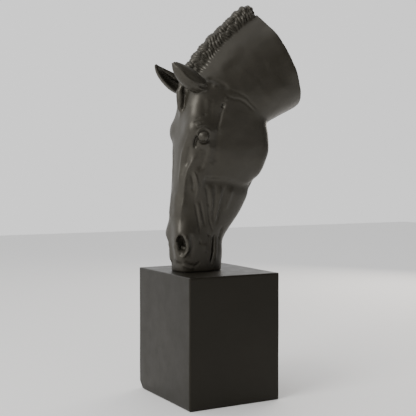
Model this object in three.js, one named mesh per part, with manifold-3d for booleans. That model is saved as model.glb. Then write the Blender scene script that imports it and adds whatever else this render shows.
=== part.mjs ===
// A horse's head standing on its muzzle on an upright block: a cast ornament.
// The head, its short neck, the hogged and plaited mane, the forelock and the ears are one casting.
// The block under it is a second piece.
// Millimetres, +Z up, origin in the middle of the block's underside.
// The forehead faces -X, the neck runs off to +X, and the horse's left side is -Y.
import * as THREE from "three";
import { mergeVertices } from "three/addons/utils/BufferGeometryUtils.js";
import { RoundedBoxGeometry } from "three/addons/geometries/RoundedBoxGeometry.js";
import Module from "manifold-3d";

const wasm = await Module();
wasm.setup();

// Driving sizes
const BLOCK_WIDTH = 127; // along X
const BLOCK_DEPTH = 143; // along Y
const BLOCK_HEIGHT = 160;
const BLOCK_EDGE_RADIUS = 2.4;
const BLOCK_WORN_CORNER = 9; // how far the one worn foot corner is rubbed back along each edge
const WORN_DEPTH = 0.6; // that corner's depth along the diagonal, as a share of it
const HEAD_HEIGHT = 342; // from the top of the block to the highest plait

// Everything on the head below is a share of its height, in hundredths of HEAD_HEIGHT,
// measured up from the top of the block and out from the block's middle line.
const SHARE = HEAD_HEIGHT / 100;
const CELL = 1.85; // grid step of the skin that is drawn over the head's forms
const END_FILLET = 6; // rounding where the skull ends at the poll and the neck ends in front of it

// Heights of the head's sections, with the places of its front and back edge and its half widths
// beside the nose, over the cheeks and at the jaw.
const HEAD_SECTIONS = [
  { up: -2.0, front: -13.2, back: 4.8, nose: 5.6, cheek: 5.9, jaw: 4.8 }, // lips on the block
  { up: 4.7, front: -13.8, back: 4.8, nose: 6.1, cheek: 6.1, jaw: 4.8 }, // upper lip
  { up: 9.1, front: -14.3, back: 4.7, nose: 6.2, cheek: 6.0, jaw: 4.5 },
  { up: 12.6, front: -14.6, back: 6.2, nose: 6.1, cheek: 5.7, jaw: 4.5 }, // nostrils
  { up: 15.5, front: -14.8, back: 8.2, nose: 6.0, cheek: 5.6, jaw: 4.7 },
  { up: 18.4, front: -14.8, back: 10.6, nose: 5.9, cheek: 5.6, jaw: 4.9 },
  { up: 22.2, front: -14.5, back: 13.4, nose: 5.8, cheek: 5.8, jaw: 5.2 },
  { up: 27.8, front: -13.9, back: 16.7, nose: 5.9, cheek: 6.5, jaw: 5.7 }, // bridge of the nose
  { up: 33.6, front: -13.3, back: 18.4, nose: 6.3, cheek: 7.3, jaw: 6.4 },
  { up: 39.2, front: -12.9, back: 19.4, nose: 6.9, cheek: 8.2, jaw: 7.4 }, // ends of the cheek bones
  { up: 44.4, front: -12.6, back: 20.4, nose: 7.8, cheek: 8.9, jaw: 8.2 },
  { up: 49.4, front: -12.1, back: 21.0, nose: 8.8, cheek: 9.3, jaw: 8.7 }, // eyes
  { up: 53.5, front: -11.8, back: 20.6, nose: 9.4, cheek: 9.5, jaw: 8.7 },
  { up: 59.9, front: -10.5, back: 19.0, nose: 9.4, cheek: 9.4, jaw: 8.5 }, // temples
  { up: 65.8, front: -8.6, back: 14.0, nose: 8.7, cheek: 8.8, jaw: 8.2 },
  { up: 73.0, front: -6.6, back: 8.0, nose: 7.2, cheek: 7.6, jaw: 7.4 }, // poll, between the ears
];
const POLL_UP = 71.5;
const SUNK = 1.5; // how far the form runs on below the top of the block

const clamp = THREE.MathUtils.clamp;
const lerp = THREE.MathUtils.lerp;
const smoothstep = THREE.MathUtils.smoothstep;

// Two forms run together over a fillet of the given width; the mirror of it takes one form away.
function blend(a, b, fillet) {
  const h = Math.max(fillet - Math.abs(a - b), 0) / fillet;
  return Math.min(a, b) - (h * h * h * fillet) / 6;
}

function carve(a, hollow, fillet) {
  return -blend(-a, hollow, fillet);
}

// Distances to single forms, negative inside.
function ellipsoid(p, centre, radii) {
  const x = (p.x - centre[0]) / radii[0];
  const y = (p.y - centre[1]) / radii[1];
  const z = (p.z - centre[2]) / radii[2];
  const k = Math.hypot(x, y, z);
  const g = Math.hypot(x / radii[0], y / radii[1], z / radii[2]);
  return g < 1e-9 ? -Math.min(...radii) : (k * (k - 1)) / g;
}

// A bar between two points whose thickness changes from one end to the other.
function bar(p, from, to, fromRadius, toRadius) {
  const a = new THREE.Vector3(...from);
  const run = new THREE.Vector3(...to).sub(a);
  const t = clamp(new THREE.Vector3().subVectors(p, a).dot(run) / run.lengthSq(), 0, 1);
  return p.distanceTo(a.addScaledVector(run, t)) - lerp(fromRadius, toRadius, t);
}

// Reads one column of a list of rows at any place along its key, on a smooth curve from row to row.
function along(rows, key, at, name) {
  let i = 1;
  while (i < rows.length - 1 && at > rows[i][key]) i += 1;
  const t = clamp((at - rows[i - 1][key]) / (rows[i][key] - rows[i - 1][key]), 0, 1);
  const before = rows[Math.max(i - 2, 0)][name];
  const after = rows[Math.min(i + 1, rows.length - 1)][name];
  const a = rows[i - 1][name];
  const b = rows[i][name];
  const slopeA = (b - before) / 2;
  const slopeB = (after - a) / 2;
  const leaving = (a * (1 + 2 * t) + slopeA * t) * (1 - t) ** 2;
  const arriving = (b * (3 - 2 * t) - slopeB * (1 - t)) * t ** 2;
  return leaving + arriving;
}

// The skull and jaws: one rounded section after another, up the head.
const FACE_SQUARENESS = 3.6; // a flat nose with rounded edges
const JAW_SQUARENESS = 3.0;

function skull(p) {
  const read = (name) => along(HEAD_SECTIONS, "up", p.z, name);
  const front = read("front");
  const back = read("back");
  const depth = clamp((p.x - front) / (back - front), 0, 1);
  const toJaw = smoothstep(depth, 0.45, 1);
  const toCheek = smoothstep(depth, 0.0, 0.5);
  const half = lerp(lerp(read("nose"), read("cheek"), toCheek), read("jaw"), toJaw);
  const u = Math.abs((2 * (p.x - front)) / (back - front) - 1);
  const v = Math.abs(p.y) / half;
  const square = lerp(FACE_SQUARENESS, JAW_SQUARENESS, smoothstep(depth, 0, 0.6));
  const k = (u ** square + v ** square) ** (1 / square);
  const side = (k - 1) * half;
  return -blend(-side, POLL_UP - p.z, END_FILLET);
}

// The neck: cut off square to its own line behind the poll, thin under the mane and full below.
const NECK_CUT = { x: 20.8, up: 95.9, slope: 64 }; // crest end of the cut, and its tilt from level
const NECK_DEPTH = 37.9; // from that point to the throat
const NECK_WIDEST = 23.4; // how far down the neck is at its fullest
const NECK_SPARE = 4; // how far the form runs on past the cut
const NECK_REACH = 39; // how far it runs forward over the poll
const NECK_ROUNDNESS = { above: 2.4, below: 2.3 }; // 2 is a plain ellipse, more is fuller
// Places along the neck, forward of the cut: how far down its crest lies, and its half width.
const NECK_COURSE = [
  { back: -42, crest: 11.5, half: 7.6 },
  { back: -37, crest: 8.2, half: 8.4 },
  { back: -29, crest: 4.0, half: 9.6 },
  { back: -22, crest: 1.6, half: 10.7 },
  { back: -12, crest: -0.6, half: 11.9 },
  { back: -4, crest: -2.0, half: 12.6 },
  { back: 6, crest: -2.2, half: 12.7 },
];
const neckDown = new THREE.Vector3(Math.cos(THREE.MathUtils.degToRad(NECK_CUT.slope)), 0, 0);
neckDown.z = -Math.sin(THREE.MathUtils.degToRad(NECK_CUT.slope));
const neckBack = new THREE.Vector3(-neckDown.z, 0, neckDown.x);
const neckPoint = new THREE.Vector3(NECK_CUT.x, 0, NECK_CUT.up);

function neck(p) {
  const from = new THREE.Vector3().subVectors(p, neckPoint);
  const back = from.dot(neckBack);
  const down = from.dot(neckDown);
  const crest = along(NECK_COURSE, "back", back, "crest");
  const fullest = along(NECK_COURSE, "back", back, "half");
  const above = (NECK_WIDEST - down) / (NECK_WIDEST - crest);
  const below = (down - NECK_WIDEST) / (NECK_DEPTH - NECK_WIDEST);
  const side = Math.abs(p.y) / fullest;
  const full = NECK_ROUNDNESS.below;
  const round =
    down < NECK_WIDEST ? above ** NECK_ROUNDNESS.above + side : (below ** full + side ** full) ** (1 / full);
  const within = Math.max((round - 1) * fullest, back - NECK_SPARE);
  return -blend(-within, back + NECK_REACH, END_FILLET);
}

// The cheek is a flat round plate of muscle over the jaw, straighter along its lower edge and
// thinner towards it.
const CHEEK = { x: 9.4, up: 49.4, before: 13.6, behind: 13.9, above: 11.5, below: 17.0 };
const CHEEK_HALF = 9.6;
const CHEEK_HALF_BELOW = 7.9;
const CHEEK_SQUARENESS = { above: 2.2, front: 3.4, back: 2.5, face: 4.5 };

function cheek(p) {
  const x = (p.x - CHEEK.x) / (p.x < CHEEK.x ? CHEEK.before : CHEEK.behind);
  const z = (p.z - CHEEK.up) / (p.z < CHEEK.up ? CHEEK.below : CHEEK.above);
  const lower = p.x < CHEEK.x ? CHEEK_SQUARENESS.front : CHEEK_SQUARENESS.back;
  const square = p.z > CHEEK.up ? CHEEK_SQUARENESS.above : lower;
  const flat = (Math.abs(x) ** square + Math.abs(z) ** square) ** (1 / square);
  const half = lerp(CHEEK_HALF_BELOW, CHEEK_HALF, smoothstep(p.z, CHEEK.up - CHEEK.below, CHEEK.up - 2));
  const face = CHEEK_SQUARENESS.face;
  const k = (flat ** face + (Math.abs(p.y) / half) ** face) ** (1 / face);
  return (k - 1) * half;
}

// The whole head without ears, mane, forelock and eyeballs.
function head(p0) {
  const p = p0.clone();
  p.y = Math.abs(p.y);
  let d = skull(p);
  d = blend(d, ellipsoid(p, [-6.6, 6.6, 51.8], [5.4, 3.8, 4.6]), 3.4); // bone over the eye
  d = blend(d, bar(p, [-3.4, 6.6, 45.6], [-7.4, 4.2, 32.0], 2.6, 1.9), 4.0); // crest of the cheek bone
  d = blend(d, cheek(p), 1.6);
  d = blend(d, ellipsoid(p, [-11.4, 3.7, 13.4], [3.6, 3.2, 4.4]), 3.4); // flare of the nostril
  d = blend(d, ellipsoid(p, [0.1, 0, 6.6], [5.0, 5.1, 6.8]), 2.4); // chin and lower lip
  d = carve(d, ellipsoid(p, [-7.6, 11.2, 48.6], [3.6, 1.9, 2.8]), 2.4); // socket of the eye
  d = carve(d, ellipsoid(p, [-2.6, 11.4, 58.0], [4.4, 2.4, 4.2]), 3.0); // hollow of the temple
  d = carve(d, ellipsoid(p, [21.0, 0, 28.0], [6.4, 2.2, 13.0]), 2.6); // hollow between the jaws
  d = blend(d, neck(p), 3.2);
  return Math.max(d, -SUNK - p.z);
}

// Moves a point onto a form's surface, in a few short steps along the slope of the form.
const SETTLE_STEPS = 3;
const SLOPE_READ_OVER = 0.02; // the distance over which the form's slope is read

function settle(form, point, reach) {
  const small = SLOPE_READ_OVER;
  const total = new THREE.Vector3();
  for (let round = 0; round < SETTLE_STEPS; round += 1) {
    const here = form(point);
    const slope = new THREE.Vector3();
    for (const axis of ["x", "y", "z"]) {
      const near = point.clone();
      near[axis] += small;
      slope[axis] = (form(near) - here) / small;
    }
    const step = slope.multiplyScalar(-here / Math.max(slope.lengthSq(), 0.05));
    total.add(step);
    point.add(step);
    if (total.length() <= reach) continue;
    point.sub(total);
    point.add(total.setLength(reach));
  }
}

// Draws a skin over a form by putting one point in each grid cell that the surface crosses.
function skin(form, low, high, step) {
  const count = high.map((h, i) => Math.ceil((h - low[i]) / step) + 1);
  const index = (i, j, k) => (k * count[1] + j) * count[0] + i;
  const at = (i, j, k) => new THREE.Vector3(low[0] + i * step, low[1] + j * step, low[2] + k * step);
  const value = new Float64Array(count[0] * count[1] * count[2]);
  for (let k = 0; k < count[2]; k += 1)
    for (let j = 0; j < count[1]; j += 1)
      for (let i = 0; i < count[0]; i += 1) value[index(i, j, k)] = form(at(i, j, k));

  const corners = [];
  for (let c = 0; c < 8; c += 1) corners.push([c & 1, (c >> 1) & 1, (c >> 2) & 1]);
  const edges = [];
  for (let a = 0; a < 8; a += 1)
    for (const bit of [1, 2, 4]) if (!(a & bit)) edges.push([a, a | bit]);

  const points = [];
  const pointOf = new Map();
  for (let k = 0; k < count[2] - 1; k += 1)
    for (let j = 0; j < count[1] - 1; j += 1)
      for (let i = 0; i < count[0] - 1; i += 1) {
        const v = corners.map(([a, b, c]) => value[index(i + a, j + b, k + c)]);
        const sum = new THREE.Vector3();
        let crossings = 0;
        for (const [a, b] of edges) {
          if (v[a] < 0 === v[b] < 0) continue;
          const t = v[a] / (v[a] - v[b]);
          const from = corners[a];
          const to = corners[b];
          sum.add(new THREE.Vector3(...from.map((f, n) => lerp(f, to[n], t))));
          crossings += 1;
        }
        if (!crossings) continue;
        sum.divideScalar(crossings).multiplyScalar(step).add(at(i, j, k));
        settle(form, sum, step / 3);
        pointOf.set(index(i, j, k), points.length / 3);
        points.push(sum.x, sum.y, sum.z);
      }

  // Four cells meet at each grid edge that the surface crosses, and their points make two triangles.
  const faces = [];
  const axes = [
    [1, 0, 0],
    [0, 1, 0],
    [0, 0, 1],
  ];
  for (let k = 1; k < count[2] - 1; k += 1)
    for (let j = 1; j < count[1] - 1; j += 1)
      for (let i = 1; i < count[0] - 1; i += 1)
        axes.forEach((axis, n) => {
          const a = value[index(i, j, k)] < 0;
          const b = value[index(i + axis[0], j + axis[1], k + axis[2])] < 0;
          if (a === b) return;
          const u = axes[(n + 1) % 3];
          const w = axes[(n + 2) % 3];
          const cell = (s, t) =>
            pointOf.get(index(i - s * u[0] - t * w[0], j - s * u[1] - t * w[1], k - s * u[2] - t * w[2]));
          const ring = [cell(0, 0), cell(1, 0), cell(1, 1), cell(0, 1)];
          if (!a) ring.reverse();
          faces.push(ring[0], ring[1], ring[2], ring[0], ring[2], ring[3]);
        });
  return new THREE.BufferGeometry()
    .setAttribute("position", new THREE.Float32BufferAttribute(points, 3))
    .setIndex(faces);
}

// Between three.js geometry and solids that can be joined and cut.
function solid(geometry) {
  const bare = geometry.clone();
  bare.deleteAttribute("normal");
  bare.deleteAttribute("uv");
  const merged = mergeVertices(bare, 1e-4);
  return new wasm.Manifold(
    new wasm.Mesh({
      numProp: 3,
      vertProperties: new Float32Array(merged.attributes.position.array),
      triVerts: new Uint32Array(merged.index.array),
    }),
  );
}

function geometryOf(made) {
  const mesh = made.getMesh();
  const geometry = new THREE.BufferGeometry()
    .setAttribute("position", new THREE.Float32BufferAttribute(mesh.vertProperties, 3))
    .setIndex(new THREE.Uint32BufferAttribute(mesh.triVerts, 1));
  geometry.computeVertexNormals();
  return geometry;
}

// A closed body through rings of points, one ring after another, with a fan over each end.
function loft(rings) {
  const size = rings[0].length;
  const points = rings.flat();
  const faces = [];
  for (let r = 0; r + 1 < rings.length; r += 1)
    for (let i = 0; i < size; i += 1) {
      const a = r * size + i;
      const b = r * size + ((i + 1) % size);
      faces.push(a, b, b + size, a, b + size, a + size);
    }
  [rings[0], rings[rings.length - 1]].forEach((ring, end) => {
    const middle = points.length;
    points.push(ring.reduce((sum, q) => sum.add(q), new THREE.Vector3()).divideScalar(size));
    const start = end ? (rings.length - 1) * size : 0;
    for (let i = 0; i < size; i += 1) {
      const a = start + i;
      const b = start + ((i + 1) % size);
      faces.push(...(end ? [a, b, middle] : [b, a, middle]));
    }
  });
  return new THREE.BufferGeometry().setFromPoints(points).setIndex(faces);
}

// The mane is hogged and bound into a row of short plaits that stand up along the crest, and its
// front end falls between the ears as the forelock.
const PLAITS = 10;
// The tops of the plaits, read as the neck is: along it from the cut, and down from its crest end.
const CREST = [
  { back: 1.1, down: -2.6 },
  { back: -0.8, down: -4.9 },
  { back: -3.5, down: -5.7 },
  { back: -7.1, down: -5.3 },
  { back: -16.7, down: -2.7 },
  { back: -28.7, down: 0.9 },
  { back: -37.3, down: 5.3 },
  { back: -40.8, down: 8.9 },
];
const MANE_HALF_WIDTH = 3.3;
const MANE_SLIMS_TO = 0.62; // share of that width at the front end
const MANE_SLIMS_FROM = 0.72; // share of the mane's length where it starts to slim
const MANE_DEPTH = 5.0; // from the top of a plait to the mane's lower edge
const PLAIT_NOTCH = 1.1; // how deep the gaps between the plaits are
const NOTCH_AT_SIDES = 0.6; // share of that depth by which a gap also goes in from the sides
// One side of the mane's cross section: share of the half width, and of the depth.
const MANE_SECTION = [
  [0, 0],
  [0.45, -0.1],
  [0.8, -0.4],
  [1, -0.85],
  [0.9, -1.05],
  [0.4, -1.5],
];
const RINGS_PER_PLAIT = 4;

function mane() {
  const onCrest = ({ back, down }) =>
    neckPoint.clone().addScaledVector(neckBack, back).addScaledVector(neckDown, down);
  const line = new THREE.CatmullRomCurve3(CREST.map(onCrest));
  const rings = [];
  const steps = PLAITS * RINGS_PER_PLAIT;
  for (let i = 0; i <= steps; i += 1) {
    const t = i / steps;
    const middle = line.getPointAt(t);
    const run = line.getTangentAt(t);
    const out = new THREE.Vector3(run.z, 0, -run.x);
    const swell = Math.abs(Math.sin((Math.PI * i) / RINGS_PER_PLAIT));
    const notch = PLAIT_NOTCH * (1 - swell);
    const slim = lerp(1, MANE_SLIMS_TO, smoothstep(t, MANE_SLIMS_FROM, 1));
    const half = (MANE_HALF_WIDTH - notch * NOTCH_AT_SIDES) * slim;
    const place = ([side, down]) =>
      middle
        .clone()
        .addScaledVector(out, down * MANE_DEPTH - notch * (1 + Math.max(down, -1)))
        .setY(side * half);
    const left = MANE_SECTION.map(place);
    const right = MANE_SECTION.slice(1).map(([side, down]) => place([-side, down]));
    rings.push([...left, ...right.reverse()]);
  }
  return loft(rings);
}

// The forelock lies over the brow as one lock that stands off the forehead and ends in a point.
const FORELOCK = [
  { up: 73.0, front: -11.8, back: -6.0, half: 2.3 },
  { up: 69.0, front: -12.1, back: -7.0, half: 2.0 },
  { up: 64.0, front: -11.9, back: -8.4, half: 1.55 },
  { up: 59.5, front: -11.7, back: -9.0, half: 1.1 },
  { up: 55.5, front: -11.5, back: -9.8, half: 0.35 },
];

function forelock() {
  const rings = FORELOCK.map(({ up, front, back, half }) => {
    const outline = [];
    for (let i = 0; i < 8; i += 1) {
      const turn = (i * Math.PI) / 4;
      const x = lerp(back, front, (1 + Math.cos(turn)) / 2);
      outline.push(new THREE.Vector3(x, half * Math.sin(turn), up));
    }
    return outline;
  });
  return loft(rings);
}

// An ear is a cupped leaf, open forwards and in towards the other ear.
const EAR_FOOT = [-4.4, 6.0, 67.2];
const EAR_MIDDLE = [-12.0, 7.8, 69.8];
const EAR_TIP = [-17.6, 7.0, 76.0];
const EAR_OPENS = new THREE.Vector3(-0.3, -0.93, -0.2).normalize();
const EAR_HALF_WIDTHS = [1.8, 2.6, 3.1, 3.3, 3.1, 2.5, 1.6, 0.4];
const EAR_WALL = 0.95;
const EAR_WALL_AT_TIP = 0.45; // the wall is never more than this share of the half width
const EAR_FLATNESS = 0.9; // depth of the cup as a share of its half width
const EAR_WRAP = 108; // degrees that the leaf turns round to each side of its back
const EAR_TIP_WRAP = 80;
const EAR_ARC_STEPS = 6;

function ear() {
  const line = new THREE.QuadraticBezierCurve3(
    new THREE.Vector3(...EAR_FOOT),
    new THREE.Vector3(...EAR_MIDDLE),
    new THREE.Vector3(...EAR_TIP),
  );
  const rings = EAR_HALF_WIDTHS.map((half, i) => {
    const t = i / (EAR_HALF_WIDTHS.length - 1);
    const middle = line.getPoint(t);
    const run = line.getTangent(t);
    const side = new THREE.Vector3().crossVectors(run, EAR_OPENS).normalize();
    const out = new THREE.Vector3().crossVectors(run, side).normalize();
    const wall = Math.min(EAR_WALL, half * EAR_WALL_AT_TIP);
    const wrap = THREE.MathUtils.degToRad(lerp(EAR_WRAP, EAR_TIP_WRAP, t));
    const outline = [];
    const arc = (radius, from, to) => {
      for (let n = 0; n <= EAR_ARC_STEPS; n += 1) {
        const turn = lerp(from, to, n / EAR_ARC_STEPS);
        const q = middle.clone().addScaledVector(side, Math.sin(turn) * radius);
        outline.push(q.addScaledVector(out, Math.cos(turn) * radius * EAR_FLATNESS));
      }
    };
    arc(half, -wrap, wrap);
    arc(half - wall, wrap, -wrap);
    return outline.reverse();
  });
  return loft(rings);
}

// The eye: a ball between two lids, under the bone of the brow.
const EYE = [-7.0, 8.5, 49.5];
const EYE_RADIUS = 1.95;
const LID_ROLL = 0.5;

function eye() {
  return new THREE.SphereGeometry(EYE_RADIUS, 12, 8).translate(...EYE);
}

function lids() {
  const ring = new THREE.TorusGeometry(EYE_RADIUS, LID_ROLL, 6, 14);
  ring.scale(1.25, 0.8, 1).rotateX(Math.PI / 2).rotateZ(THREE.MathUtils.degToRad(-8));
  return ring.translate(EYE[0], EYE[1] + 0.75, EYE[2]);
}

function twice(geometry) {
  const left = solid(geometry);
  const turned = geometry.clone().scale(1, -1, 1);
  const index = turned.index.array;
  for (let i = 0; i < index.length; i += 3) [index[i + 1], index[i + 2]] = [index[i + 2], index[i + 1]];
  return left.add(solid(turned));
}

// Nostril and the line of the mouth are cut in.
const NOSTRIL = { centre: [-13.2, 4.3, 10.4], deep: 2.6, wide: 1.9, high: 4.1, faces: 41 };

function nostril() {
  const pit = new THREE.SphereGeometry(1, 10, 8).scale(NOSTRIL.deep, NOSTRIL.wide, NOSTRIL.high);
  return pit.rotateZ(THREE.MathUtils.degToRad(-NOSTRIL.faces)).translate(...NOSTRIL.centre);
}

const MOUTH_LINE = [
  [0.1, 14.2],
  [-0.6, 11.2],
  [-1.0, 7.4],
  [-1.4, 3.4],
  [-1.8, -1.0],
];
const MOUTH_GAPE = 0.55;
const MOUTH_CORNER_GAPE = 0.1;
const MOUTH_INSIDE = 3.9; // the slit ends this far from the middle of the face
const MOUTH_OUTSIDE = 9; // and starts out here, clear of the lips

function mouth() {
  const rings = MOUTH_LINE.map(([x, up], i) => {
    const gape = i === 0 ? MOUTH_CORNER_GAPE : MOUTH_GAPE;
    return [
      new THREE.Vector3(x - gape, MOUTH_OUTSIDE, up),
      new THREE.Vector3(x + gape, MOUTH_OUTSIDE, up),
      new THREE.Vector3(x, MOUTH_INSIDE, up),
    ];
  });
  return loft(rings);
}

// The grid of the skin reaches this far beyond the face, the neck's sides and crest, and its foot.
const GRID_SPARE = 2 * CELL;
const CREST_RISE = 5; // the neck's crest rises this far above the start of the cut

function headCasting() {
  const widest = (rows, name) => Math.max(...rows.map((row) => Math.abs(row[name])));
  const neckEnd = neckPoint
    .clone()
    .addScaledVector(neckDown, NECK_DEPTH)
    .addScaledVector(neckBack, NECK_SPARE);
  const side = widest(NECK_COURSE, "half") + GRID_SPARE;
  const low = [-widest(HEAD_SECTIONS, "front") - GRID_SPARE, -side, -SUNK - GRID_SPARE];
  const high = [neckEnd.x + GRID_SPARE, side, NECK_CUT.up + CREST_RISE + GRID_SPARE];

  const far = 3 * NECK_DEPTH; // the boxes that trim the neck and the muzzle reach past everything
  const neckPlane = new THREE.BoxGeometry(far, far, far).translate(far / 2, 0, 0);
  neckPlane.rotateY(THREE.MathUtils.degToRad(NECK_CUT.slope - 90)).translate(NECK_CUT.x, 0, NECK_CUT.up);
  const blockTop = new THREE.BoxGeometry(far, far, far).translate(0, 0, -far / 2);
  const made = solid(skin(head, low, high, CELL))
    .add(solid(mane()))
    .add(solid(forelock()))
    .add(twice(ear()))
    .add(twice(eye()))
    .add(twice(lids()))
    .subtract(twice(nostril()))
    .subtract(twice(mouth()))
    .subtract(solid(neckPlane))
    .subtract(solid(blockTop));
  return geometryOf(made).scale(SHARE, SHARE, SHARE);
}

// The block: a plain upright box with softened edges, one corner of its foot rubbed away.
function block() {
  const box = new RoundedBoxGeometry(BLOCK_WIDTH, BLOCK_DEPTH, BLOCK_HEIGHT, 2, BLOCK_EDGE_RADIUS);
  box.translate(0, 0, BLOCK_HEIGHT / 2);
  const away = new THREE.Vector3(-1, 1, -1).normalize();
  const corner = new THREE.Vector3(-BLOCK_WIDTH / 2, BLOCK_DEPTH / 2, 0);
  const size = 4 * BLOCK_WORN_CORNER;
  const worn = new THREE.BoxGeometry(size, size, size);
  worn.applyQuaternion(new THREE.Quaternion().setFromUnitVectors(new THREE.Vector3(0, 0, 1), away));
  worn.translate(...corner.addScaledVector(away, size / 2 - BLOCK_WORN_CORNER * WORN_DEPTH).toArray());
  return geometryOf(solid(box).subtract(solid(worn)));
}

const headResin = new THREE.MeshStandardMaterial({ color: 0x2b2a27, roughness: 0.55, metalness: 0 });
const blockResin = new THREE.MeshStandardMaterial({ color: 0x262521, roughness: 0.5, metalness: 0 });

const horse = new THREE.Group();
const headMesh = new THREE.Mesh(headCasting(), headResin);
headMesh.name = "horse_head";
headMesh.position.z = BLOCK_HEIGHT;
const blockMesh = new THREE.Mesh(block(), blockResin);
blockMesh.name = "block";
horse.add(headMesh, blockMesh);

export default horse;
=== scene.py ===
import bmesh
import bpy
import math
import numpy as np
from mathutils import Matrix, Vector, noise


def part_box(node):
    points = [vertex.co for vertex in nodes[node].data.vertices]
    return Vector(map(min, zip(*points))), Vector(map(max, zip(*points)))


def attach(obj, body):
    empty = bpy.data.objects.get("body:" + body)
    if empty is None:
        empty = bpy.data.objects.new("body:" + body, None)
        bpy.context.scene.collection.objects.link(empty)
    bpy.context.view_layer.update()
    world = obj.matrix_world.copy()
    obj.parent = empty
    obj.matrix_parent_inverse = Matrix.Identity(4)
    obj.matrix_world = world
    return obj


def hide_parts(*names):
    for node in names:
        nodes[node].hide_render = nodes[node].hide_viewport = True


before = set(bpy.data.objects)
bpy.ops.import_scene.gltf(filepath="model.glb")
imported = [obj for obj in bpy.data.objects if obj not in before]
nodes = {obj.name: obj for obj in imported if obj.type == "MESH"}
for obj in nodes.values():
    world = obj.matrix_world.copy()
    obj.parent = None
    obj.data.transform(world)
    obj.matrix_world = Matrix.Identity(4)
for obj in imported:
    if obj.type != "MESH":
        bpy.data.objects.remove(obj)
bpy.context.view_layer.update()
scene = bpy.context.scene


# The camera stands about a metre off the sculpture's left front corner, near the height
# of its middle, and looks slightly down.
CAMERA_AT = (-0.54407, -0.98124, 0.28256)
CAMERA_LOOKS_ALONG = (0.4852, 0.8735, -0.0387)
CAMERA_FOCAL_MM = 75.9
CAMERA_SENSOR_MM = 36.0

camera = bpy.data.objects.new("camera", bpy.data.cameras.new("camera"))
camera.data.lens = CAMERA_FOCAL_MM
camera.data.sensor_width = CAMERA_SENSOR_MM
camera.location = CAMERA_AT
camera.rotation_euler = Vector(CAMERA_LOOKS_ALONG).to_track_quat("-Z", "Y").to_euler()
scene.collection.objects.link(camera)
scene.camera = camera


# The studio: a seamless white floor under a white sky that is dimmer on one side, where
# the room behind the camera is dark.
FLOOR_SIZE = 6.0
FLOOR_COLOUR = (0.9, 0.9, 0.9, 1)
FLOOR_ROUGHNESS = 0.7
SKY_DARK_TOWARDS = (0.64, -0.77, -0.05)
SKY_STOPS = (
    (0.0, (1.0, 1.0, 1.0, 1)),
    (0.55, (0.9, 0.9, 0.9, 1)),
    (0.8, (0.16, 0.155, 0.15, 1)),
    (1.0, (0.12, 0.115, 0.11, 1)),
)
SKY_STRENGTH = 1.2


class Socket:
    """A shader output that can be written into sums and fed to further nodes."""

    def __init__(self, tree, link):
        self.tree = tree
        self.link = link

    def node(self, kind, sockets, output=0, **settings):
        made = self.tree.nodes.new(kind)
        stops = settings.pop("stops", ())
        for name, value in settings.items():
            setattr(made, name, value)
        while stops and len(made.color_ramp.elements) < len(stops):
            made.color_ramp.elements.new(0.5)
        for i, (place, colour) in enumerate(stops):
            made.color_ramp.elements[i].position = place
            made.color_ramp.elements[i].color = colour
        for name, value in sockets.items():
            if isinstance(value, Socket):
                self.tree.links.new(value.link, made.inputs[name])
            else:
                made.inputs[name].default_value = value
        return Socket(self.tree, made.outputs[output] if len(made.outputs) else None)

    def maths(self, operation, first, second):
        return self.node("ShaderNodeMath", {0: first, 1: second}, operation=operation)

    def __add__(self, other):
        return self.maths("ADD", self, other)

    def __sub__(self, other):
        return self.maths("SUBTRACT", self, other)

    def __rsub__(self, other):
        return self.maths("SUBTRACT", other, self)

    def __mul__(self, other):
        return self.maths("MULTIPLY", self, other)

    __radd__ = __add__
    __rmul__ = __mul__


world = bpy.data.worlds.new("studio")
world.use_nodes = True
world.node_tree.nodes.clear()
facing = Socket(
    world.node_tree, world.node_tree.nodes.new("ShaderNodeTexCoord").outputs["Generated"]
)
towards_dark = facing.node(
    "ShaderNodeVectorMath", {0: facing, 1: SKY_DARK_TOWARDS}, output=1, operation="DOT_PRODUCT"
)
sky = facing.node("ShaderNodeValToRGB", {"Fac": towards_dark * 0.5 + 0.5}, stops=SKY_STOPS)
glow = facing.node("ShaderNodeBackground", {"Color": sky, "Strength": SKY_STRENGTH})
facing.node("ShaderNodeOutputWorld", {"Surface": glow})
scene.world = world


def material(name, finish):
    """A material whose finish, made from the place on the piece, sets the shader's sockets."""
    made = bpy.data.materials.new(name)
    made.use_nodes = True
    made.node_tree.nodes.clear()
    coordinates = made.node_tree.nodes.new("ShaderNodeTexCoord")
    place = Socket(made.node_tree, coordinates.outputs["Object"])
    shader = place.node("ShaderNodeBsdfPrincipled", finish(place))
    place.node("ShaderNodeOutputMaterial", {"Surface": shader})
    return made


bm = bmesh.new()
bmesh.ops.create_grid(bm, x_segments=1, y_segments=1, size=FLOOR_SIZE / 2)
floor = bpy.data.objects.new("floor", bpy.data.meshes.new("floor"))
bm.to_mesh(floor.data)
bm.free()
floor_white = {"Base Color": FLOOR_COLOUR, "Roughness": FLOOR_ROUGHNESS}
floor.data.materials.append(material("floor white", lambda place: floor_white))
scene.collection.objects.link(floor)


# Plain soft boxes: a broad one high on the left lights the brow and the nose, and a weak
# warm one on the right draws the edge of the cheek and the neck.
LIGHTS = (
    # name, where, looks at, size, watts, colour
    ("key", (-1.5, -0.45, 1.25), (0, 0, 0.32), 0.9, 20, (1.0, 0.985, 0.95)),
    ("right edge", (1.2, 0.75, 0.65), (0, 0, 0.32), 0.7, 7, (1.0, 0.92, 0.82)),
)

for name, where, aim, size, watts, colour in LIGHTS:
    lamp = bpy.data.objects.new(name, bpy.data.lights.new(name, "AREA"))
    lamp.data.size = size
    lamp.data.energy = watts
    lamp.data.color = colour
    lamp.location = where
    lamp.rotation_euler = (Vector(aim) - Vector(where)).to_track_quat("-Z", "Y").to_euler()
    scene.collection.objects.link(lamp)


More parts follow.
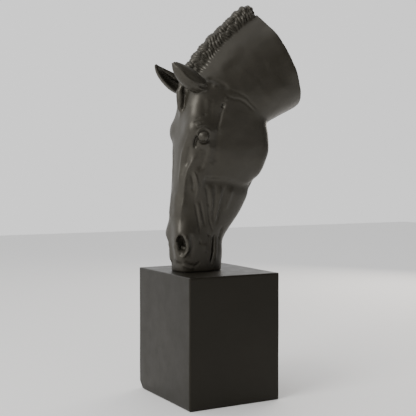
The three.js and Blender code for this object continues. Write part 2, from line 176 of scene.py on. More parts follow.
# The block: cast in the same dark resin as the head and rubbed down by hand, so that its
# edges are soft, its faces aren't dead flat and one foot corner is worn round. The head
# stands on its top.
MM = 0.001
SAME_PLACE = 1e-6  # two points that are nearer than this are one
BLOCK_COLOUR = (0.0095, 0.0083, 0.0058, 1)
BLOCK_ROUGHNESS = 0.40
BLOCK_SHEEN = 0.27
BLOCK_STEP = 1.2
BLOCK_SOFTENING = 3
# The planes that wear the corner off: which way each one faces, and how deep it lies.
BLOCK_WEAR = (((-1, 1, -1), 4.6), ((-2, 1, -1), 4.2), ((-1, 2, -1), 4.2), ((-1, 1, -2), 4.2))
BLOCK_HOLLOWS = ((70, 0.3), (24, 0.08))  # how far apart they lie, and how deep they are
BLOCK_HOLLOWS_LEVEL = -0.6  # sets the uneven skin back, so that it keeps inside the solid's box

# The resin's finish. Each noise has a scale by the metre and a detail.
CLOUDS = (16.0, 4.0)
RUBBING = (70.0, 5.0)
GRAIN = (1100.0, 2.0)
RUBBING_IN_TONE = 0.3
DARKEST_TONE = 0.75
LIGHTEST_TONE = 1.35
ROUGHNESS_SPREAD = 0.22
GRAIN_IN_SKIN = 0.4
SKIN_STRENGTH = 0.25
SKIN_DEPTH = 0.4 * MM
SHEEN_TINT = (1.0, 0.955, 0.86, 1)


def resin(name, colour, roughness, sheen):
    """Dark cast resin with a satin skin: cloudy tone, faint pores and a rubbed sheen."""

    def toned(share):
        return [channel * share for channel in colour[:3]] + [1]

    def finish(place):
        clouds, rubbing, grain = (
            place.node("ShaderNodeTexNoise", {"Vector": place, "Scale": scale, "Detail": detail})
            for scale, detail in (CLOUDS, RUBBING, GRAIN)
        )
        shade = clouds * (1 - RUBBING_IN_TONE) + rubbing * RUBBING_IN_TONE
        tone = place.node(
            "ShaderNodeMix",
            {0: shade, 6: toned(DARKEST_TONE), 7: toned(LIGHTEST_TONE)},
            output=2,
            data_type="RGBA",
        )
        bump = place.node(
            "ShaderNodeBump",
            {
                "Height": grain * GRAIN_IN_SKIN + rubbing,
                "Strength": SKIN_STRENGTH,
                "Distance": SKIN_DEPTH,
            },
        )
        return {
            "Base Color": tone,
            "Roughness": roughness + (rubbing - 0.5) * ROUGHNESS_SPREAD,
            "Specular IOR Level": sheen,
            "Specular Tint": SHEEN_TINT,
            "Normal": bump,
        }

    return material(name, finish)


def piece_from(name, mesh, finish, node):
    """A finished piece at the origin that rides with the sculpture in a node's place."""
    for face in mesh.polygons:
        face.use_smooth = True
    piece = bpy.data.objects.new(name, mesh)
    scene.collection.objects.link(piece)
    piece.data.materials.clear()
    piece.data.materials.append(finish)
    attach(piece, "root")
    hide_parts(node)


def merged_copy(node):
    """The node's mesh as a bmesh whose loose triangles are joined to one surface."""
    made = bmesh.new()
    made.from_mesh(nodes[node].data)
    bmesh.ops.remove_doubles(made, verts=made.verts, dist=SAME_PLACE)
    return made


def remade(name, start, modifiers):
    """The mesh that a bmesh or a mesh becomes under a row of modifiers."""
    if isinstance(start, bmesh.types.BMesh):
        bm = start
        start = bpy.data.meshes.new(name)
        bm.to_mesh(start)
        bm.free()
    lump = bpy.data.objects.new(name, start)
    scene.collection.objects.link(lump)
    for kind, settings in modifiers:
        modifier = lump.modifiers.new(kind, kind)
        for key, value in settings.items():
            setattr(modifier, key, value)
    shaped = lump.evaluated_get(bpy.context.evaluated_depsgraph_get())
    made = bpy.data.meshes.new_from_object(shaped)
    bpy.data.objects.remove(lump)
    return made


def trimmed(bm, at, faces):
    """Cuts off what lies beyond a plane and closes the cut."""
    everything = bm.verts[:] + bm.edges[:] + bm.faces[:]
    cut = bmesh.ops.bisect_plane(
        bm, geom=everything, plane_co=at, plane_no=faces, clear_outer=True
    )
    rim = [edge for edge in cut["geom_cut"] if isinstance(edge, bmesh.types.BMEdge)]
    bmesh.ops.holes_fill(bm, edges=rim)


class Surface:
    """A mesh's points and their ways out, as arrays to be moved by hand."""

    def __init__(self, mesh):
        self.mesh = mesh
        self.at = np.empty(len(mesh.vertices) * 3)
        mesh.vertices.foreach_get("co", self.at)
        self.at = self.at.reshape(-1, 3)
        self.refresh()

    def refresh(self):
        """Lays the moved points back on the mesh, and reads the way out at each."""
        self.mesh.vertices.foreach_set("co", self.at.ravel())
        self.mesh.update()
        out = np.empty(self.at.size)
        self.mesh.vertex_normals.foreach_get("vector", out)
        self.out = out.reshape(-1, 3)

    def swell(self, swellings, level=0.0):
        """Makes the surface uneven by swellings of a span and a height.

        The level shifts it out or in by that share of each height.
        """
        for span, height in swellings:
            swell = np.array([noise.noise(place) for place in self.at / (span * MM)])
            self.at += self.out * ((swell + level) * height * MM)[:, None]


low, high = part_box("block")
worn_corner = Vector((low.x, high.y, low.z))
bm = bmesh.new()
shape = Matrix.Translation((low + high) / 2) @ Matrix.Diagonal((*(high - low), 1))
bmesh.ops.create_cube(bm, size=1.0, matrix=shape)
for faces, depth in BLOCK_WEAR:
    faces = Vector(faces).normalized()
    trimmed(bm, worn_corner - faces * depth * MM, faces)
block_mesh = remade(
    "block_cast",
    bm,
    (
        ("REMESH", {"mode": "VOXEL", "voxel_size": BLOCK_STEP * MM}),
        ("SMOOTH", {"factor": 0.5, "iterations": BLOCK_SOFTENING}),
    ),
)
block_skin = Surface(block_mesh)
block_skin.swell(BLOCK_HOLLOWS, BLOCK_HOLLOWS_LEVEL)
block_skin.refresh()
block_finish = resin("block resin", BLOCK_COLOUR, BLOCK_ROUGHNESS, BLOCK_SHEEN)
piece_from("block_cast", block_mesh, block_finish, "block")


# The horse's head: one hollow casting from a clay model, in the same satin resin. The
# clay starts as the plain head and gets its ears, mane and eyes, then the finer carving.
# Places are in millimetres, on the horse's left side where there are two of a thing.
HEAD_COLOUR = (0.024, 0.0215, 0.0165, 1)
HEAD_ROUGHNESS = 0.40
HEAD_SHEEN = 0.5
ROUGH_CLAY_STEP = 1.6
ROUGH_CLAY_SMOOTHING = 16
SMOOTHING_SHRINKS = 0.75
FINE_CLAY_STEP = 0.85
FINE_CLAY_SMOOTHING = 7
MOST_TRIANGLES = 190000
BLOCK_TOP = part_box("block")[1].z
NECK_CUT_AT = Vector((71.1, 0, 488)) * MM
NECK_CUT_FACES = Vector((0.8988, 0, 0.4384))
TRIM = 6 * MM  # the neck and the foot run on this far, and are cut back square
ON_CUT = 0.01 * MM  # a point this near to a cut lies on it
JOINED_FACES_BEND = 0.6  # two triangles that bend and lean less, in radians, become a quad
JOINED_FACES_LEAN = 1.2

# How the strokes are worked out.
LAYING_REACH = 8 * MM  # how far off the clay a line's points may be given
LAYING_PASSES = 3  # how often the laid line is smoothed
FINEST_STEP = 0.8  # the points of a stroke are no nearer to each other than this
BRUSH_REACH = 2.6  # how many widths from its line a stroke is worked out to
STROKE_ENDS = 0.25  # the share of a stroke over which either end fades
LEDGE_STEP = 1.0
SCOOP_STEPS = 12  # how many places of the ball there are for each given point
SCOOP_CENTRE = 0.02  # keeps the push finite at the centre of the ball


def smoothed(line, passes):
    """A line whose inner points are drawn towards their neighbours, pass after pass."""
    for _ in range(passes):
        line[1:-1] = (line[:-2] + 2 * line[1:-1] + line[2:]) / 4
    return line


class Clay(Surface):
    """The head's surface while it is being modelled."""

    def around(self, line, reach):
        """The points of the clay in a box around a line."""
        inside = np.all(self.at > line.min(0) - reach, axis=1)
        return np.flatnonzero(inside & np.all(self.at < line.max(0) + reach, axis=1))

    def laid(self, points, side, spacing):
        """Points along a smooth line through the given ones, laid on the clay."""
        rows = np.array([(x, y * side, z) for x, y, z in points], dtype=float) * MM
        reach = np.concatenate([[0], np.cumsum(np.linalg.norm(np.diff(rows, axis=0), axis=1))])
        count = max(3, int(reach[-1] / spacing) + 1) if len(rows) > 1 else 1
        places = np.linspace(0, reach[-1], count)
        line = np.stack([np.interp(places, reach, rows[:, i]) for i in range(3)], axis=1)
        line = smoothed(line, count // len(points) if count > 2 else 0)
        near = self.at[self.around(line, LAYING_REACH)]
        line = np.array([near[((near - p) ** 2).sum(1).argmin()] for p in line])
        return smoothed(line, LAYING_PASSES)

    def beside(self, line, width, ends):
        """The points near a line, their offsets from it, and how far its ends fade them."""
        chosen = self.around(line, BRUSH_REACH * width)
        gaps = np.linalg.norm(self.at[chosen, None, :] - line[None, :, :], axis=2)
        nearest = gaps.argmin(axis=1)
        offset = self.at[chosen] - line[nearest]
        if len(line) == 1:
            return chosen, offset, 1.0
        run = np.gradient(line, axis=0)[nearest]
        past = np.clip((offset * run).sum(1) / (run * run).sum(1), -0.5, 0.5)
        share = np.clip((nearest + past) / (len(line) - 1), 0, 1)
        fade = np.clip(np.minimum(share, 1 - share) / ends, 0, 1)
        return chosen, offset - run * past[:, None], fade * fade * (3 - 2 * fade)

    def stroke(self, points, width, rise):
        """Raises the clay along a line by up to rise, fading over width to either side."""
        for side in (1, -1):
            line = self.laid(points, side, max(FINEST_STEP, width / 6) * MM)
            chosen, offset, fade = self.beside(line, width * MM, STROKE_ENDS)
            lift = np.exp(-(offset**2).sum(1) / (width * MM) ** 2) * fade * rise * MM
            self.at[chosen] += self.out[chosen] * lift[:, None]

    def ledge(self, points, high_side, rise, drop, high, low, sharp, ends):
        """A step along a line: the clay rises to it on its high side and drops beyond it.

        It fades over high and low to the two sides, and is the softer the larger sharp is.
        """
        for side in (1, -1):
            line = self.laid(points, side, LEDGE_STEP * MM)
            up = Vector((high_side[0], high_side[1] * side, high_side[2])).normalized()
            chosen, offset, fade = self.beside(line, max(high, low) * MM, ends)
            across = offset @ np.array(up) / MM
            beyond = np.sqrt(np.maximum((offset**2).sum(1) / MM**2 - across**2, 0))
            step = 0.5 + 0.5 * np.tanh(across / sharp)
            rising = rise * step * np.exp(-((np.maximum(across, 0) / high) ** 2))
            falling = drop * (1 - step) * np.exp(-((np.minimum(across, 0) / low) ** 2))
            lift = (rising - falling) * fade * np.exp(-((beyond / high) ** 2)) * MM
            self.at[chosen] += self.out[chosen] * lift[:, None]

    def scoop(self, points):
        """Hollows the clay out with a ball that is drawn along a line, in x, y, z, radius."""
        for side in (1, -1):
            ends = np.array([(x, y * side, z) for x, y, z, radius in points]) * MM
            radii = np.array([radius for x, y, z, radius in points]) * MM
            places = np.linspace(0, len(points) - 1, SCOOP_STEPS * len(points))
            stops = np.arange(len(points))
            line = np.stack([np.interp(places, stops, ends[:, i]) for i in range(3)], axis=1)
            radius = np.interp(places, stops, radii)
            chosen = self.around(line, radii.max())
            apart = self.at[chosen, None, :] - line[None, :, :]
            gaps = np.linalg.norm(apart, axis=2)
            nearest = (gaps - radius[None, :]).argmin(axis=1)
            rows = np.arange(len(chosen))
            gap = np.maximum(gaps[rows, nearest], SCOOP_CENTRE * MM)
            push = np.maximum(radius[nearest] - gap, 0) / gap
            self.at[chosen] += apart[rows, nearest] * push[:, None]

    def plane_off(self, at, faces):
        """Cuts down to a flat what stands out beyond it."""
        beyond = np.maximum((self.at - np.array(at)) @ np.array(faces), 0)
        self.at -= beyond[:, None] * np.array(faces)


bm = merged_copy("horse_head")
for vertex in bm.verts:
    if vertex.co.z < BLOCK_TOP + ON_CUT:
        vertex.co.z -= TRIM
    if (vertex.co - NECK_CUT_AT).dot(NECK_CUT_FACES) > -ON_CUT:
        vertex.co += NECK_CUT_FACES * TRIM
bmesh.ops.join_triangles(
    bm,
    faces=bm.faces,
    angle_face_threshold=JOINED_FACES_BEND,
    angle_shape_threshold=JOINED_FACES_LEAN,
)
rough = remade(
    "rough clay",
    bm,
    (
        ("SUBSURF", {"levels": 1, "render_levels": 1}),
        ("REMESH", {"mode": "VOXEL", "voxel_size": ROUGH_CLAY_STEP * MM}),
        ("SMOOTH", {"factor": 0.5, "iterations": ROUGH_CLAY_SMOOTHING}),
        ("DISPLACE", {"strength": SMOOTHING_SHRINKS * MM, "mid_level": 0.0}),
    ),
)

# The nostrils are scooped out with a ball tool, from the skin inwards: place and radius.
NOSTRIL_SCOOPS = (
    ((-49.5, -19.5, 206.5, 2.7), (-47.5, -18.5, 201, 4.2), (-46.5, -16.5, 194, 5.6),
     (-46.5, -15.5, 187.5, 4.8), (-47, -14.5, 183, 3.2)),
    ((-44, -14, 200, 4.0), (-42, -12.5, 194, 5.2), (-42.5, -11.5, 187, 4.6)),
    ((-39, -11, 198, 4.2), (-37.5, -10, 191.5, 5.0), (-38, -9.5, 186, 4.2)),
    ((-34, -9, 196, 4.0), (-33, -8.5, 190, 4.4)),
)
rough_clay = Clay(rough)
for points in NOSTRIL_SCOOPS:
    rough_clay.scoop(points)
rough_clay.refresh()

# Ears: cupped leaves that open in towards each other, the front wall wider than the back.
EAR_PATH = ((-15.0, -20.5, 389.8), (-43.0, -24.5, 396.0), (-61.4, -24.0, 420.0))
EAR_DROP = 1.4  # the left ear is laid this much lower, and the right one is pricked up
EAR_OPENS = (-0.3, 0.93, -0.2)
EAR_HALF_WIDTHS = (6.6, 9.2, 10.6, 10.9, 10.3, 9.4, 8.1, 6.0, 2.2)
EAR_BACK_SHARE = 0.68  # how wide the back half is beside the front half
EAR_FRONT_WRAP = (130, 142)  # degrees that the front wall turns round, at foot and tip
EAR_BACK_WRAP = (105, 62)
EAR_WALL = 2.8
EAR_COLUMNS = 22
EAR_ROWS = 27


def ear_clay(side):
    """One ear: a sheet turned round the ear's line and thickened inwards."""
    bm = bmesh.new()
    foot, middle, tip = (Vector((x, y * side, z)) * MM for x, y, z in EAR_PATH)
    middle.z -= side * EAR_DROP * MM
    tip.z -= side * EAR_DROP * MM
    opens = Vector(EAR_OPENS).normalized()
    opens.y *= side
    bmesh.ops.create_grid(bm, x_segments=EAR_COLUMNS, y_segments=EAR_ROWS, size=1.0)
    stations = np.linspace(0, 1, len(EAR_HALF_WIDTHS))
    for vertex in bm.verts:
        t = (vertex.co.y + 1) / 2
        run = ((middle - foot) * (1 - t) + (tip - middle) * t).normalized()
        front = run.cross(opens).normalized() * side
        out = front.cross(run).normalized() * -side
        at = foot * (1 - t) ** 2 + middle * 2 * t * (1 - t) + tip * t**2
        half = np.interp(t, stations, EAR_HALF_WIDTHS) * MM
        wrap = EAR_FRONT_WRAP if vertex.co.x > 0 else EAR_BACK_WRAP
        turn = math.radians(wrap[0] * (1 - t) + wrap[1] * t) * vertex.co.x
        share = 1 if vertex.co.x > 0 else EAR_BACK_SHARE
        vertex.co = at + front * half * share * math.sin(turn) + out * half * math.cos(turn)
    bmesh.ops.recalc_face_normals(bm, faces=bm.faces)
    back_face = min(bm.faces, key=lambda face: (face.calc_center_median() - foot).dot(opens))
    if back_face.normal.dot(opens) > 0:
        bmesh.ops.reverse_faces(bm, faces=bm.faces)
    bmesh.ops.solidify(bm, geom=bm.faces[:], thickness=EAR_WALL * MM)
    ear = bpy.data.meshes.new("ear")
    bm.to_mesh(ear)
    bm.free()
    return ear


# Eyeballs, set between their lids.
EYE_AT = (-23.0, -31.2, 329.0)
EYE_RADIUS = 7.3
EYE_SEGMENTS = (32, 20)

# The mane is hogged and tied in a row of short plaits along the crest. These are the gaps
# between them, from the poll to the cut of the neck, where its outline is lowest.
MANE_TIES = (
    (-31, 417), (-25, 423.5), (-15, 436), (-4, 450), (10.5, 463.5), (25, 475),
    (35, 485.5), (46, 495), (54.5, 499.5), (63.5, 499.5), (71.5, 491),
)
PLAIT_RISE = 2.6
PLAIT_KNOT = (0.60, 8.6, 7.6)  # half length by the gap to the next, half width, half depth
PLAIT_ROOT = (0.56, 12.0, 7.5)
KNOT_DEPTH = 5.0
ROOT_DEPTH = 11.5
PLAIT_SEGMENTS = (20, 12)


def plait_frame(k):
    """Where a plait sits: its middle, its run along the crest, its way out and its length."""
    start, end = (Vector((x, 0, z)) * MM for x, z in MANE_TIES[k : k + 2])
    run = (end - start).normalized()
    return (start + end) / 2, run, Vector((-run.z, 0, run.x)), (end - start).length


bm = bmesh.new()
for side in (1, -1):
    bm.from_mesh(ear_clay(side))
    eye = Matrix.Translation(Vector((EYE_AT[0], EYE_AT[1] * side, EYE_AT[2])) * MM)
    around, upright = EYE_SEGMENTS
    bmesh.ops.create_uvsphere(
        bm, u_segments=around, v_segments=upright, radius=EYE_RADIUS * MM, matrix=eye
    )
around, upright = PLAIT_SEGMENTS
for k in range(len(MANE_TIES) - 1):
    middle, run, out, length = plait_frame(k)
    for (long, wide, deep), depth in ((PLAIT_KNOT, KNOT_DEPTH), (PLAIT_ROOT, ROOT_DEPTH)):
        place = Matrix.Identity(4)
        place.col[0][:3] = run * (length * long)
        place.col[1][1] = wide * MM
        place.col[2][:3] = out * (deep * MM)
        place.col[3][:3] = middle - out * (depth * MM)
        bmesh.ops.create_uvsphere(
            bm, u_segments=around, v_segments=upright, radius=1.0, matrix=place
        )
bm.from_mesh(rough)
trimmed(bm, (0, 0, BLOCK_TOP), (0, 0, -1))
trimmed(bm, NECK_CUT_AT, NECK_CUT_FACES)
clay = remade(
    "fine clay",
    bm,
    (
        ("REMESH", {"mode": "VOXEL", "voxel_size": FINE_CLAY_STEP * MM}),
        ("SMOOTH", {"factor": 0.5, "iterations": FINE_CLAY_SMOOTHING}),
    ),
)


# The carving, in strokes. Each is a row of points on the horse's left side, and is drawn
# again on the right. It raises the clay, or sinks it where its rise is less than nothing.
sculpt = Clay(clay)

# Bones and flesh first, in broad strokes: what it is, points, width and rise.
BROAD_STROKES = (
    ("nasal bone", ((-40, -17, 321), (-42, -13, 309), (-43, -11, 296), (-44, -10, 281),
                    (-45, -9, 268)), 3.4, 0.8),
    ("hollow beside it", ((-36, -22.5, 322), (-37, -20.5, 312), (-38, -18.5, 303),
                          (-39, -16.5, 290)), 3.2, -1.1),
    ("side of the nose", ((-29, -26, 318), (-30, -24, 307), (-33, -21, 297), (-37, -18, 286),
                          (-40, -16, 275), (-41, -15, 262), (-42, -15, 250), (-44, -15, 235),
                          (-46, -16, 220)), 4.4, 1.5),
    ("hollow under the eye", ((-17, -31, 317), (-19, -28, 304), (-22.5, -26, 294),
                              (-26, -24, 284)), 4.0, -1.8),
    ("plane of the forehead", ((-31, -14, 388), (-33, -13, 376), (-35, -15, 362)), 6.0, 0.7),
    ("front of the temple", ((-20, -28, 378), (-20.5, -29, 366), (-22, -32, 354)), 3.6, -0.5),
    ("valley before the cheek", ((-1, -33, 342), (-4, -32, 328), (-5.5, -32, 316), (-7, -30, 304),
                                 (-9, -28, 292)), 4.6, -1.4),
    ("pocket under the forelock", ((-33, -9, 394), (-35, -8, 388), (-36.5, -6, 380)), 3.2, -2.2),
    ("front of the forelock", ((-41, -1, 394), (-41, -1, 382), (-40.5, -1, 370), (-39.5, -1, 358)),
     3.4, 1.9),
    ("forelock's shadow", ((-35, -7.5, 394), (-35.5, -6.5, 384), (-36.5, -5, 372), (-38, -4, 360)),
     2.4, -3.0),
    ("behind the ear", ((-15, -22, 401), (-6, -26, 400), (4, -31, 395), (14, -33, 387)), 3.5, -1.8),
    ("upper neck muscle", ((-2, -21, 412), (12, -24, 421), (24, -21, 437), (38, -19, 452)), 9.0, 0.7),
    ("gap under it", ((6, -30, 403), (26, -31, 420), (48, -31, 438)), 9.0, -0.7),
    ("lower neck muscle", ((27, -35, 382), (41, -37, 388), (57, -39, 401)), 9.0, 0.7),
    ("gap under that", ((38, -36, 404), (52, -37, 412), (70, -38, 420)), 10.0, -0.6),
    ("windpipe", ((64, -36, 372), (77, -40, 387), (90, -42, 403)), 10.0, 0.8),
    ("rim of the neck", ((76, -20, 476), (87, -28, 456), (97, -35, 436), (107, -40, 414),
                         (115, -42, 398)), 13.0, 2.8),
    ("corner of the jaw", ((66, -20, 330), (65, -20, 315), (62, -19, 302), (60, -16, 290),
                           (59, -14, 281), (57, -13, 274)), 8.0, 1.7),
    ("front of the nose", ((-46, -6, 264), (-47, -6, 250), (-49, -7, 238), (-51, -8, 226)), 6.0, 1.1),
    ("front of the muzzle", ((-50, -8, 199), (-49, -9, 190), (-47, -9, 180), (-46, -8, 170)),
     6.0, 2.0),
    ("end of the mane", ((70, -3, 499), (73, -6, 491)), 4.5, -2.0),
)
for name, points, width, rise in BROAD_STROKES:
    sculpt.stroke(points, width, rise)
sculpt.refresh()

# The plate of the cheek stands proud along its front, down the crest of the cheek bone,
# and along its lower edge.
CHEEK_FRONT = (
    (7, -33, 374), (5, -33, 368), (2, -32, 359), (0, -32, 350), (-3, -33, 340), (-4, -32, 330),
    (-6, -32, 320), (-8.5, -31, 310), (-10, -29, 300), (-12, -27, 290), (-15, -25, 281),
    (-19, -24, 273),
)
CHEEK_FOOT = (
    (-20, -25, 279), (-14, -25, 277.5), (-5, -25, 277), (4, -25, 277), (14, -25.5, 276),
    (24, -25, 273.5), (34, -23.5, 271), (42, -21, 269.5), (50, -18, 270.5), (58, -14, 274),
)
sculpt.ledge(
    CHEEK_FRONT, (1, 0, 0.25), rise=0.1, drop=0.4, high=9.0, low=5.0, sharp=2.4, ends=0.18
)
sculpt.ledge(
    CHEEK_FOOT, (0, 0, 1), rise=0.45, drop=1.8, high=10.0, low=11.0, sharp=2.2, ends=0.06
)
sculpt.refresh()

# Then skin, veins, lids and lips, in fine strokes.
FINE_STROKES = (
    ("rim of the upper lid", ((-33.5, -32, 330), (-31.5, -33.5, 334.5), (-27.5, -34.5, 338),
                              (-22.5, -35, 339), (-17, -34.5, 337), (-13, -33.5, 332)), 1.5, 1.0),
    ("fold over it", ((-33.5, -32, 337), (-29, -34, 340), (-23, -35, 341.5), (-16.5, -34.5, 339.5)),
     0.9, -0.6),
    ("brow", ((-34, -32, 341), (-30.5, -34, 343), (-26, -35, 343.8)), 2.0, 0.7),
    ("first wrinkle of the brow", ((-36, -29, 345.5), (-30, -32, 347.5), (-23, -33.5, 347)),
     1.1, -0.7),
    ("second wrinkle of the brow", ((-33, -29, 351), (-27, -31, 352)), 1.1, -0.5),
    ("rim of the lower lid", ((-29, -30, 319), (-24.5, -30, 317.8), (-19, -31, 318.5),
                              (-14, -32, 322)), 1.5, 0.9),
    ("crease round the eye", ((-31.2, -33, 326), (-31, -34, 331), (-28.5, -34.5, 335),
                              (-23.5, -35, 337), (-18, -34.5, 335.5)), 0.9, -1.1),
    ("crease under the eye", ((-31.5, -31, 325), (-29, -31, 321.8), (-25, -31, 320.3),
                              (-20, -32, 320.3), (-15.5, -32.5, 323.5), (-14, -33, 329)), 1.1, -2.0),
    ("tear duct", ((-32.5, -33, 331), (-32.8, -31, 324.5), (-33.2, -28, 318), (-33.5, -27, 313)),
     1.9, -3.6),
    ("fold under the eye", ((-27, -28, 314), (-21, -30, 313), (-14, -32, 316)), 1.5, -0.4),
    ("groove before the cheek", CHEEK_FRONT[:6], 2.0, -1.1),
    ("ridge of the nasal bone", ((-40, -28, 339), (-40, -25, 331), (-40.5, -17, 321),
                                 (-42, -13, 309), (-43, -11, 296), (-44, -10, 281),
                                 (-45, -9, 268)), 1.6, 0.6),
    ("ridge of the nose", ((-28, -25, 313), (-30, -23, 304), (-34, -20, 295), (-38, -17, 285),
                           (-40, -16, 275), (-41, -15, 263), (-42, -15, 250), (-45, -14, 235),
                           (-47, -15, 223), (-49, -18, 213)), 2.2, 0.8),
    ("vein on the cheek", ((-32, -21, 289), (-28.5, -23, 278), (-26, -22.5, 268), (-26, -21, 260),
                           (-28, -20, 249)), 1.6, 1.1),
    ("shadow before the vein", ((-34.5, -20, 285), (-32, -21, 274), (-31, -20, 259)), 2.0, -1.0),
    ("first cord of the jaw", ((-15, -23, 271), (-12, -22, 256), (-9, -20, 238)), 2.0, -0.9),
    ("second cord of the jaw", ((-9, -23, 271), (-7, -22, 256), (-5, -20, 236)), 2.2, 0.9),
    ("third cord of the jaw", ((-2, -24, 271), (-1, -22, 256), (-2, -20, 236), (-4, -19, 220)),
     1.9, -1.0),
    ("fourth cord of the jaw", ((6, -25, 270), (5, -23, 256), (3, -20, 240), (0, -19, 222)),
     2.3, 1.2),
    ("fifth cord of the jaw", ((14, -25, 270), (11, -23, 254), (6, -20, 234), (2, -18, 216)),
     2.2, -1.2),
    ("sixth cord of the jaw", ((24, -23, 268), (20, -21, 252), (13, -18, 234)), 3.0, 0.9),
    ("first line of the cheek", ((-29, -19, 251), (-26, -19, 235), (-23, -19, 219),
                                 (-22, -20, 206)), 1.5, -0.9),
    ("second line of the cheek", ((-22, -20, 252), (-18, -19.5, 234), (-14, -19, 215)), 1.5, -0.9),
    ("third line of the cheek", ((-10, -20, 243), (-8, -19, 225), (-2.5, -18, 208)), 1.4, -0.8),
    ("cord between them", ((-25, -20, 249), (-22, -20, 234), (-19, -19.5, 218)), 1.8, 0.7),
    ("rim of the nostril", ((-47, -21, 209), (-44, -22.5, 206), (-40.5, -22.5, 200),
                            (-38.5, -22, 193), (-39, -19.5, 186), (-42, -17.5, 181),
                            (-46, -14.5, 178)), 1.9, 1.9),
    ("behind the nostril", ((-38, -22, 210), (-34.5, -22, 202), (-33, -21.5, 193),
                            (-35, -20, 183), (-39, -18, 177)), 3.0, -1.5),
    ("upper lip", ((-16, -20, 196), (-14, -20, 190), (-14, -20, 182)), 3.4, 0.8),
    ("edge of the upper lip", ((-5, -18, 204), (-6.5, -18.5, 192), (-7.5, -19, 183),
                               (-10.5, -19, 172)), 2.0, 0.8),
    ("edge of the lower lip", ((3.5, -16.5, 204), (2.5, -17, 192), (2, -17.5, 183),
                               (-1, -18, 172)), 2.0, 0.8),
    ("mouth", ((-0.5, -17, 208), (-1.5, -17, 200), (-2.5, -18, 191), (-3.5, -18, 184),
               (-5.5, -18.5, 176), (-7, -19, 166)), 1.35, -4.6),
    ("groove of the chin", ((13, -16, 217), (10, -15, 208), (8, -15, 198)), 2.0, -1.4),
    ("short line by the mouth", ((-9, -19, 209), (-8.5, -19, 204)), 1.3, -1.0),
    ("line behind the lip", ((-22, -20, 201), (-21.5, -20, 195)), 1.4, -0.8),
    ("crease of the lip", ((-42, -16, 174), (-36, -19, 169.5), (-29, -20, 168)), 1.6, -0.7),
    ("fold of the lip", ((-44, -13, 171), (-38, -18, 166), (-29, -20, 164.5)), 1.8, 0.7),
    ("diagonal of the lip", ((-32, -19, 166), (-27, -20, 169), (-22, -21, 173.5)), 1.5, -0.7),
    ("dimple of the temple", ((5.5, -33, 371), (3.5, -33, 364)), 2.3, -2.0),
    ("knob over the dimple", ((8, -33, 376),), 2.2, 0.8),
    ("first cord of the temple", ((-16, -30, 378), (-17, -31, 363), (-15, -34, 351)), 2.3, 0.25),
    ("second cord of the temple", ((-5, -32, 380), (-9, -31, 366), (-10, -33, 344)), 2.1, 0.2),
    ("gap of the temple", ((-10, -30, 376), (-13, -31, 364)), 2.4, -0.3),
    ("pit of the temple", ((-20.5, -31, 358), (-20.5, -31, 353)), 2.4, -0.8),
    ("knob under the ear", ((-25, -23, 385),), 2.3, 1.2),
    ("neck over the jaw", ((-5, -28, 395), (2, -31, 392), (11, -33, 389), (19, -34, 386),
                           (28, -35, 383), (36, -36, 379), (43, -36, 372), (51, -35, 367),
                           (60, -33, 362)), 1.8, -0.35),
    ("skin over the jaw", ((7, -33, 385), (15, -34, 382), (26, -35, 380), (34, -35.5, 377),
                           (42, -36, 371), (52, -35, 364)), 2.2, 0.1),
    ("jaw under the neck", ((3, -32, 384), (9, -33, 380), (17, -34, 376.5), (26, -35, 376),
                            (34, -35, 373), (42, -35.5, 367), (52, -34, 360)), 1.7, -0.6),
    ("knob behind the ear", ((-13, -25, 395),), 2.4, 1.2),
    ("second knob behind the ear", ((-6, -28, 391),), 2.4, 1.0),
    ("ridge of the ear", ((-59, -27, 414), (-53, -31, 408), (-48.5, -32, 402), (-42, -33, 397),
                          (-33, -33, 393)), 2.0, 1.5),
    ("fold at the ear's foot", ((-33, -31, 391), (-28, -30, 388), (-20, -28, 386.5),
                                (-13, -27, 387.5)), 1.6, 1.2),
    ("second fold there", ((-29, -32, 394), (-21, -30, 393), (-14, -27, 393)), 1.5, 0.9),
    ("crease there", ((-30, -31.5, 391.5), (-24, -30, 390), (-16, -28, 389.5)), 1.3, -1.0),
)
for name, points, width, rise in FINE_STROKES:
    sculpt.stroke(points, width, rise)
sculpt.refresh()

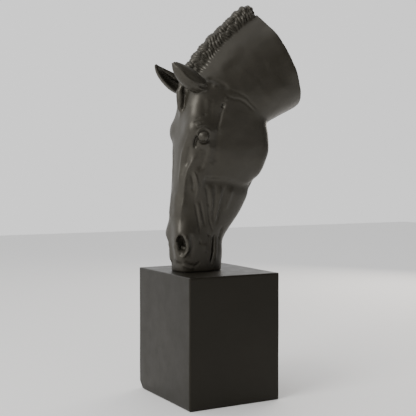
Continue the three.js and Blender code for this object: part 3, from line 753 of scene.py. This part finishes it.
# Strands: each plait is combed over from its knot to its root, and its tie cuts across
# them. Depths run in from the outline of the crest.
COMBED_FROM = -3.0
COMBED_TO = 21.0
COMBED_FADE = 4.0
COMBED_HALF_WIDTH = 15.0
STRANDS_APART = 5.0
STRAND_GROOVE = 1.0
STRAND_BEND = 0.22  # by the length of the plait
STRAND_BEND_DEPTH = 5.5
BEND_TURNS = 1.7  # from each plait to the next the bends turn on by as many radians
STRAND_TURNS = 0.37  # and the strands shift by this share of a strand
TIE_GROOVE = 0.6
TIE_DEPTH = 7.5
TIE_BOW = 1.5
TIE_HALF_WIDTH = 1.2


def comb(sculpt):
    """Cuts the strands of the mane, one plait after another."""
    for k in range(len(MANE_TIES) - 1):
        middle, run, out, length = plait_frame(k)
        from_middle = sculpt.at - np.array(middle)
        along = from_middle @ np.array(run) / length + 0.5
        depth = PLAIT_RISE - from_middle @ np.array(out) / MM
        chosen = (along >= 0) & (along < 1) & (depth < COMBED_TO) & (depth > COMBED_FROM)
        chosen &= np.abs(sculpt.at[:, 1]) < COMBED_HALF_WIDTH * MM
        along, depth = along[chosen], depth[chosen]
        strands = max(2, round(length / MM / STRANDS_APART))
        bend = STRAND_BEND * np.sin(depth / STRAND_BEND_DEPTH + k * BEND_TURNS)
        wave = 0.5 + 0.5 * np.cos(2 * np.pi * (strands * (along + bend) + STRAND_TURNS * k))
        fade = np.clip((COMBED_TO - depth) / COMBED_FADE, 0, 1)
        off_tie = depth - TIE_DEPTH + TIE_BOW * np.cos(2 * np.pi * along)
        tie = np.exp(-((off_tie / TIE_HALF_WIDTH) ** 2))
        lift = -(STRAND_GROOVE * wave**3 + TIE_GROOVE * tie) * fade * MM
        sculpt.at[chosen] += sculpt.out[chosen] * lift[:, None]


comb(sculpt)

# The clay is never quite even under the hand.
HEAD_SWELLINGS = ((26, 0.45), (11, 0.16), (5, 0.05))
sculpt.swell(HEAD_SWELLINGS)
sculpt.plane_off(NECK_CUT_AT, NECK_CUT_FACES)
sculpt.plane_off((0, 0, BLOCK_TOP), (0, 0, -1))
sculpt.refresh()

head_mesh = remade(
    "head_cast",
    sculpt.mesh,
    (("DECIMATE", {"ratio": min(1.0, MOST_TRIANGLES / (2 * len(clay.polygons)))}),),
)
head_finish = resin("head resin", HEAD_COLOUR, HEAD_ROUGHNESS, HEAD_SHEEN)
piece_from("head_cast", head_mesh, head_finish, "horse_head")
